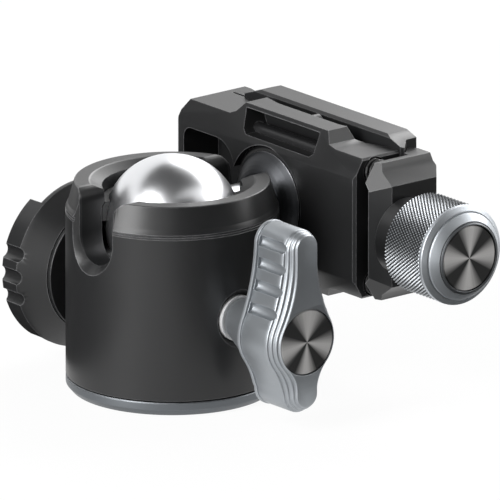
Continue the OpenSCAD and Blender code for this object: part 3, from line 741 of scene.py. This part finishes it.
housingSize = {"slot": 4.75, "flare": 6.2, "flareFrom": 16.95, "wall": 18.75, "corner": 2.6, "top": 37.75,
               "over": 4, "inner": 4, "outer": 20.5, "steps": 288, "footSteps": 24, "cornerSteps": 12,
               "edge": 0.11, "edgeAngle": 34, "smooth": 30}
# height and radius, from the bore's foot up the outside and back down the bore
housingProfile = [
    (2.7, 12.9), (2.7, 18.55), (2.76, 18.68), (2.9, 18.75), (32.14, 18.75), (32.2, 18.71), (32.24, 18.45),
    (32.4, 18.45), (32.44, 18.68), (32.5, 18.73), (32.58, 18.73), (32.62, 18.68), (32.64, 18.4),
    (32.84, 18.4), (32.88, 18.66), (32.95, 18.7), (33.8, 18.3), (33.94, 18.24), (37.5, 17.24),
    (37.66, 17.16), (37.75, 17.02), (37.75, 14.7), (37.72, 14.58), (36.85, 12.4), (36.75, 12.3),
    (34.7, 12.3), (33.9, 12.9), (2.7, 12.9),
]
# holes in the wall, as distance from the middle and radius, and how many steps each is turned in
leverSeat = [(10, 0), (10, 2.55), (16.95, 2.55), (16.95, 4.12), (17.9, 4.12), (18.9, 5.4), (22, 5.4),
             (22, 0)]
knobSeat = [(10, 0), (10, 2.55), (16.95, 2.55), (16.95, 4.12), (22, 4.12), (22, 0)]
seatSteps = 96


def notchRing(y, r, flip):
    # outline of a notch at y: round below, straight walls, corners that roll out onto the rim
    size = housingSize
    corner, top, middle = size["corner"], size["top"], ballPlace.z / unit
    side = []
    for i in range(size["footSteps"] + 1):
        a = math.radians(-90 + 90 * i / size["footSteps"])
        side.append((r * math.cos(a), middle + r * math.sin(a)))
    for i in range(size["cornerSteps"] + 1):
        a = math.radians(180 - 90 * i / size["cornerSteps"])
        side.append((r + corner + corner * math.cos(a), top - corner + corner * math.sin(a)))
    side.append((r + corner, top + size["over"]))
    points = side + [(-p[0], p[1]) for p in side[:0:-1]]
    return [Vector((p[0] * flip, y * flip, p[1])) * unit for p in points]


def addHousing():
    size = housingSize
    piece = turnProfile("housingShell", housingProfile, Vector(), zAxis, xAxis, size["steps"])
    tools = []
    for flip in (1, -1):
        steps = [(size["inner"], size["slot"]), (size["flareFrom"], size["slot"]),
                 (size["wall"], size["flare"]), (size["outer"], size["flare"])]
        tools.append(stackRings("cutter", [notchRing(y, r, flip) for y, r in steps]))
    tools.append(turnProfile("cutter", leverSeat, sideAxis, xAxis, zAxis, seatSteps))
    tools.append(turnProfile("cutter", knobSeat, sideAxis, -xAxis, zAxis, seatSteps))
    cutAway(piece, tools)
    roundEdges(piece, size["edge"] * unit, 2, size["edgeAngle"])
    smooth(piece, size["smooth"], True)
    dress(piece, "shell", "black_anodised", housingBlack(), "housing")
    print("housing made:", len(piece.data.polygons), "faces")


# lock lever

leverSize = {"front": 37.4, "up": 19.4, "upShare": 0.45, "down": 11.95, "hub": 6.15, "arm": 2.35,
             "hubCut": (3, 4.2), "join": 0.2, "lowSteps": 16, "highSteps": 26, "tipSteps": 10,
             "grooves": (5.4, 9.3, 13.2, 17.1), "grooveRadius": 1.05, "grooveIn": -0.08, "grooveGrow": 1.25,
             "grooveStart": 28.1, "grooveEnd": 34.5, "grooveSteps": (24, 12),
             "pocket": 0.16, "pocketFrom": 3.6, "pocketTo": 18.9, "disc": 5.95, "discDeep": 1.0,
             "discSteps": 96, "edge": 0.07, "edgeAngle": 28, "smooth": 34}
# how far along the axis, how far outside the front face's outline, and whether the grips are sunk there
leverSteps = [
    (27.2, 1.28, 0), (27.32, 1.4, 0), (27.92, 1.4, 0), (28.0, 1.32, 0), (28.02, 1.12, 1), (28.16, 1.12, 1),
    (28.18, 1.25, 1), (34.0, 1.25, 1), (34.25, 1.25, 0), (35.02, 1.25, 0), (35.2, 1.2, 0), (35.3, 1.08, 0),
    (35.32, 0.92, 0), (35.4, 0.86, 0), (35.72, 0.84, 0), (35.92, 0.78, 0), (36.04, 0.66, 0),
    (36.06, 0.5, 0), (36.14, 0.44, 0), (36.5, 0.42, 0), (36.72, 0.36, 0), (36.84, 0.24, 0),
    (36.86, 0.1, 0), (36.9, 0.04, 0), (36.98, -0.02, 0), (36.98, -0.06, 0), (37.3, -0.08, 0),
    (37.4, -0.16, 0),
]


def leverWidth(h, hub, arm, cut):
    # half width at height h: a round hub that runs into an arm
    edge = math.sqrt(hub * hub - cut * cut)
    drop = edge - arm
    run = 2 * drop * edge / cut
    if h <= cut:
        return math.sqrt(hub * hub - h * h)
    if h >= cut + run:
        return arm
    return arm + drop * (1 - (h - cut) / run) ** 2


def leverSide(grow):
    size = leverSize
    hub, arm = size["hub"] + grow, size["arm"] + grow
    up, down = size["up"] + size["upShare"] * grow, size["down"] + grow
    upperCut, lowerCut = size["hubCut"]
    low, high, tip = size["lowSteps"], size["highSteps"], size["tipSteps"]
    side = []
    for i in range(tip + 1):
        a = math.radians(-90 + 90 * i / tip)
        side.append((arm * math.cos(a), -down + arm + arm * math.sin(a)))
    for i in range(low - 1, -1, -1):
        h = (down - arm - size["join"]) * i / low
        side.append((leverWidth(h, hub, arm, lowerCut), -h))
    for i in range(1, high):
        h = (up - arm - size["join"]) * i / high
        side.append((leverWidth(h, hub, arm, upperCut), h))
    for i in range(tip + 1):
        a = math.radians(90 * i / tip)
        side.append((arm * math.cos(a), up - arm + arm * math.sin(a)))
    return side


def leverRing(x, grow, sunk):
    # the outline at x, with the grips sunk a little
    size = leverSize
    plain = leverSide(grow)
    low = leverSide(grow - size["pocket"] * sunk)
    side = [low[i] if size["pocketFrom"] < plain[i][1] < size["pocketTo"] else plain[i]
            for i in range(len(plain))]
    points = side + [(-p[0], p[1]) for p in side[-2:0:-1]]
    return [Vector((x, p[0], p[1] + sideAxis.z / unit)) * unit for p in points]


def stackRings(name, rings):
    # a closed stack of outlines, made by extruding a filled circle ring by ring
    clearSelection()
    bpy.ops.mesh.primitive_circle_add(vertices=len(rings[0]), radius=1 * unit, fill_type="NGON")
    piece = startPiece(name)
    mesh = piece.data
    for vertex, place in zip(mesh.vertices, rings[0]):
        vertex.co = place
    for places in rings[1:]:
        bpy.ops.object.mode_set(mode="EDIT")
        bpy.ops.mesh.extrude_region_move(TRANSFORM_OT_translate={"value": (0, 0, 0)})
        bpy.ops.object.mode_set(mode="OBJECT")
        ring = [v.index for v in mesh.vertices if v.select]
        for index, place in zip(ring, places):
            mesh.vertices[index].co = place
    bpy.ops.object.mode_set(mode="EDIT")
    bpy.ops.mesh.select_all(action="SELECT")
    bpy.ops.mesh.normals_make_consistent(inside=False)
    bpy.ops.object.mode_set(mode="OBJECT")
    return piece


def capsule(start, end, radius, steps):
    # cutter for a groove with a flat back end and a round front end
    clearSelection()
    middle = (start + end) / 2
    segments, rings = steps
    bpy.ops.mesh.primitive_uv_sphere_add(segments=segments, ring_count=rings, radius=radius * unit,
                                         location=middle, rotation=(0, math.pi / 2, 0))
    tool = startPiece("cutter")
    half = (end - start).length / 2
    near = 0.001 * unit  # the ring in the middle stays where it is
    bpy.ops.object.transform_apply(location=False, rotation=True, scale=False)
    for vertex in tool.data.vertices:
        if vertex.co.x > near:
            vertex.co.x += half
        elif vertex.co.x < -near:
            vertex.co.x = -half
    return tool


def addLever():
    size = leverSize
    piece = stackRings("lockLever", [leverRing(*step) for step in leverSteps])
    tools = []
    grow = size["grooveGrow"]
    for hand in (-1, 1):
        for h in size["grooves"]:
            w = leverWidth(h, size["hub"] + grow, size["arm"] + grow, size["hubCut"][0])
            y = hand * (w + size["grooveIn"])
            z = sideAxis.z / unit + h
            start, end = [Vector((size[x], y, z)) * unit for x in ("grooveStart", "grooveEnd")]
            tools.append(capsule(start, end, size["grooveRadius"], size["grooveSteps"]))
    clearSelection()
    bpy.ops.mesh.primitive_cylinder_add(
        vertices=size["discSteps"], radius=size["disc"] * unit, depth=2 * size["discDeep"] * unit,
        location=sideAxis + xAxis * (size["front"] * unit), rotation=(0, math.pi / 2, 0))
    tools.append(startPiece("cutter"))
    cutAway(piece, tools)
    roundEdges(piece, size["edge"] * unit, 2, size["edgeAngle"])
    smooth(piece, size["smooth"])
    dress(piece, "lever", "grey_anodised", greyAnodised, "lock_lever")
    print("lever made:", len(piece.data.polygons), "faces")


# clamp knob

knobSize = {"back": 37.1, "columns": 84, "rows": 20, "rowPitch": 0.45, "firstRow": 0.45,
            "rowSlack": 0.1, "valley": 8.66, "peak": 8.93, "pointFrom": 8.64, "faceFrom": 8.5, "smooth": 26}
# how far from the back face, and the radius, before and past the knurl
knobBack = [(0, 0), (0, 8.2), (0.08, 8.5), (0.24, 8.62)]
knobFront = [(9.62, 8.74), (9.7, 8.9), (9.82, 8.95), (10.3, 8.95), (10.44, 8.9), (11.0, 8.25), (11.08, 8.12),
             (11.1, 8.02), (11.02, 7.98), (11.02, 7.86), (11.1, 7.82), (11.42, 7.78), (11.52, 7.7),
             (12.5, 6.72), (12.6, 6.6), (12.62, 6.5), (12.56, 6.46), (12.56, 6.4), (12.64, 6.36),
             (12.84, 6.2), (12.9, 6.12), (12.9, 6.02), (12.86, 5.98), (11.9, 5.98), (11.9, 0)]


def addClampKnob():
    size = knobSize
    steps = 2 * size["columns"]
    rows = [size["firstRow"] + size["rowPitch"] * j for j in range(size["rows"] + 1)]
    points = knobBack + [(x, size["valley"]) for x in rows] + knobFront
    start = Vector((size["back"] * unit, spindleAxis.y, spindleAxis.z))
    piece = turnProfile("clampKnob", points, start, xAxis, zAxis, steps)

    def isPeak(place):
        place = place - start
        column = round(math.atan2(place.z, place.y) / (2 * math.pi) * steps)
        row = (place.x / unit - size["firstRow"]) / size["rowPitch"]
        far = math.hypot(place.y, place.z) > size["pointFrom"] * unit
        onKnurl = -size["rowSlack"] < row < size["rows"] + size["rowSlack"]
        return far and onKnurl and (column + round(row)) % 2 == 0

    pickVertices(piece, isPeak)
    bpy.ops.object.mode_set(mode="EDIT")
    lift = size["peak"] / size["valley"]
    bpy.ops.transform.resize(value=(1, lift, lift), center_override=start)
    bpy.ops.object.mode_set(mode="OBJECT")
    pickFaces(piece, lambda face: size["firstRow"] * unit < (face.center - start).x < rows[-1] * unit
              and (face.center - start).yz.length > size["faceFrom"] * unit)
    bpy.ops.object.mode_set(mode="EDIT")
    bpy.ops.mesh.quads_convert_to_tris(quad_method="SHORTEST_DIAGONAL")
    bpy.ops.object.mode_set(mode="OBJECT")
    bpy.context.tool_settings.mesh_select_mode = (True, False, False)
    smooth(piece, size["smooth"])
    dress(piece, "clamp_spindle", "grey_anodised", knurledGreyWithPaintedShade, "clamp_knob")
    print("clamp knob made:", len(piece.data.polygons), "faces")


# threads, pads and base, drawn in millimetres

mm = 0.001 / unit  # units in a millimetre
threadSize = {
    "camera": {"start": 31.45, "pitch": 1.27, "turns": 3, "peak": 3.17, "root": 2.55},
    "base": {"start": 0.75, "pitch": 1.5875, "turns": 4, "peak": 4.1, "root": 4.75},
}
# shares of the pitch at which a crest ends, a root begins and the root ends
threadShape = (0.12, 0.45, 0.62)


def threadRows(start, pitch, turns, peak, root):
    # flank points of a thread as (along, radius), crest and root narrow flats
    crestEnd, rootStart, rootEnd = [share * pitch for share in threadShape]
    rows = []
    for i in range(turns):
        at = start + i * pitch
        rows += [(at, peak), (at + crestEnd, peak), (at + rootStart, root), (at + rootEnd, root)]
    rows += [(start + turns * pitch, peak)]
    return rows


def inUnits(rows):
    return [(along * mm, radius * mm) for along, radius in rows]


cameraScrewSize = {"middle": 2.66, "slot": (1.03, 1.2, 12.0), "steps": 72, "edge": 0.06, "edgeAngle": 60,
                   "smooth": 32}
# along and radius: the slotted head and the shaft before the thread, then the tip past it
cameraScrewHead = [(27.13, 0), (27.13, 5.29), (27.21, 5.47), (27.41, 5.59), (28.34, 5.59), (28.59, 5.34),
                   (28.59, 2.15), (31.18, 2.15), (31.34, 3.0)]
cameraScrewTip = [(35.5, 2.55), (35.8, 2.55), (36.0, 3.0), (36.6, 2.72), (36.6, 0)]


def addCameraScrew():
    size = cameraScrewSize
    rows = cameraScrewHead + threadRows(**threadSize["camera"]) + cameraScrewTip
    start = Vector((size["middle"] / 1000, 0, ballPlace.z))
    piece = turnProfile("cameraScrew", inUnits(rows), start, yAxis, xAxis, size["steps"])
    clearSelection()
    bpy.ops.mesh.primitive_cube_add(size=1)
    slot = startPiece("cutter")
    wide, deep, long = size["slot"]
    headFace = start + yAxis * (cameraScrewHead[0][0] / 1000)
    slot.matrix_world = Matrix.Translation(headFace) @ Matrix.Diagonal(
        (wide / 1000, 2 * deep / 1000, long / 1000, 1))
    cutAway(piece, [slot])
    roundEdges(piece, size["edge"] * unit, 2, size["edgeAngle"])
    smooth(piece, size["smooth"])
    dress(piece, bodyOf("camera_screw"), "steel", turnedSteel, "camera_screw")
    print("camera screw made:", len(piece.data.polygons), "faces")


basePlateSize = {"screwAt": 10.75, "screws": 3, "steps": 96, "holeSteps": 32, "smooth": 32,
                 "rings": 9, "ringFrom": 12.2, "ringPitch": 0.75, "ringWide": 0.1, "ringDeep": 0.03}
# height and radius: mouth of the bore, then from the thread's end round the hub, flange and disc
baseMouth = [(0, 5.3), (0.04, 5.2), (0.6, 4.7)]
baseOutside = [(7.31, threadSize["base"]["peak"]), (7.31, 0), (8.0, 0), (8.0, 9.26), (7.8, 9.46),
               (5.33, 9.46), (5.33, 7.31), (1.03, 7.31), (1.03, 12.9), (0.12, 12.9), (0, 12.78)]
screwHole = [(-0.4, 0), (-0.4, 1.72), (0, 1.66), (0.78, 0.86), (2, 0.86), (2, 0)]


def addBasePlate():
    size = basePlateSize
    rows = baseMouth + threadRows(**threadSize["base"]) + baseOutside
    # fine turned rings on the underside
    for i in range(size["rings"]):
        r = size["ringFrom"] - size["ringPitch"] * i
        rows += [(0, r), (size["ringDeep"], r - size["ringWide"] / 2), (0, r - size["ringWide"])]
    rows += baseMouth[:1]
    piece = turnProfile("basePlate", inUnits(rows), Vector(), zAxis, xAxis, size["steps"])
    tools = []
    for i in range(size["screws"]):
        turn = 2 * math.pi * i / size["screws"]
        at = Vector((math.cos(turn), math.sin(turn), 0)) * (size["screwAt"] / 1000)
        tools.append(turnProfile("cutter", inUnits(screwHole), at, zAxis, xAxis, size["holeSteps"]))
    cutAway(piece, tools)
    smooth(piece, size["smooth"])
    dress(piece, bodyOf("base_plate"), "black_anodised", blackAnodised, "base_plate")
    print("base plate made:", len(piece.data.polygons), "faces")


padSize = {"middle": 2.66, "apart": 9.63, "half": 1.72, "long": 9.03, "low": 30.64, "body": 31.19,
           "rib": 31.27, "ribs": 19, "ribWide": 0.5, "ribSunk": 0.1, "edge": 0.03, "edgeAngle": 40}


def addPads():
    # two strips with cross ribs
    size = padSize
    low, body, rib = size["low"], size["body"], size["rib"]
    ribFoot = body - size["ribSunk"]
    pitch = 2 * size["long"] / size["ribs"]
    # middle and height of each box, and its place and length along the strip
    boxes = [((low + body) / 2, body - low, 0, 2 * size["long"])]
    for i in range(size["ribs"]):
        at = -size["long"] + pitch * (i + 0.5)
        boxes.append(((rib + ribFoot) / 2, rib - ribFoot, at, size["ribWide"]))
    for number, hand in enumerate((-1, 1)):
        made = []
        for y, high, z, long in boxes:
            clearSelection()
            place = (size["middle"] + hand * size["apart"], y, ballPlace.z * 1000 + z)
            bpy.ops.mesh.primitive_cube_add(size=0.001, location=tuple(v / 1000 for v in place))
            bpy.ops.transform.resize(value=(2 * size["half"], high, long))
            bpy.ops.object.transform_apply(location=True, rotation=True, scale=True)
            box = bpy.context.object
            roundEdges(box, size["edge"] * unit, 1, size["edgeAngle"])
            made.append(box)
        clearSelection()
        for box in made:
            box.select_set(True)
        bpy.context.view_layer.objects.active = made[0]
        bpy.ops.object.join()
        piece = startPiece("platePad" + str(number + 1))
        dress(piece, bodyOf("plate_pads"), "rubber", ribbedRubber, "plate_pads")
        print("pad made:", len(piece.data.polygons), "faces")


def dressNodes():
    slots = {s["node"]: s["material_slot"] for s in frame["record"]["subparts"]}
    for name, piece in nodes.items():
        piece.data.materials.clear()
        piece.data.materials.append(slotMaterial[slots[name]])
    # the jaw springs take the matte polymer black as painted shade in the gap between body and jaw
    special = {"lock_bush": brightRing, "knob_disc": knobPaintedRays, "pan_cap": capPaintedRays, "stop_pins": blackSteel,
               "guide_pins": blackSteel, "jaw_springs": bearingPolymer, "clamp_screw": blackSteel}
    for name, material in special.items():
        nodes[name].data.materials[0] = material


addCamera()
addWorld()
addFloor()
addLamps()
addCards()
dressNodes()
addRoundedPieces()
addBall()
addHousing()
addLever()
addClampKnob()
addCameraScrew()
addBasePlate()
addPads()
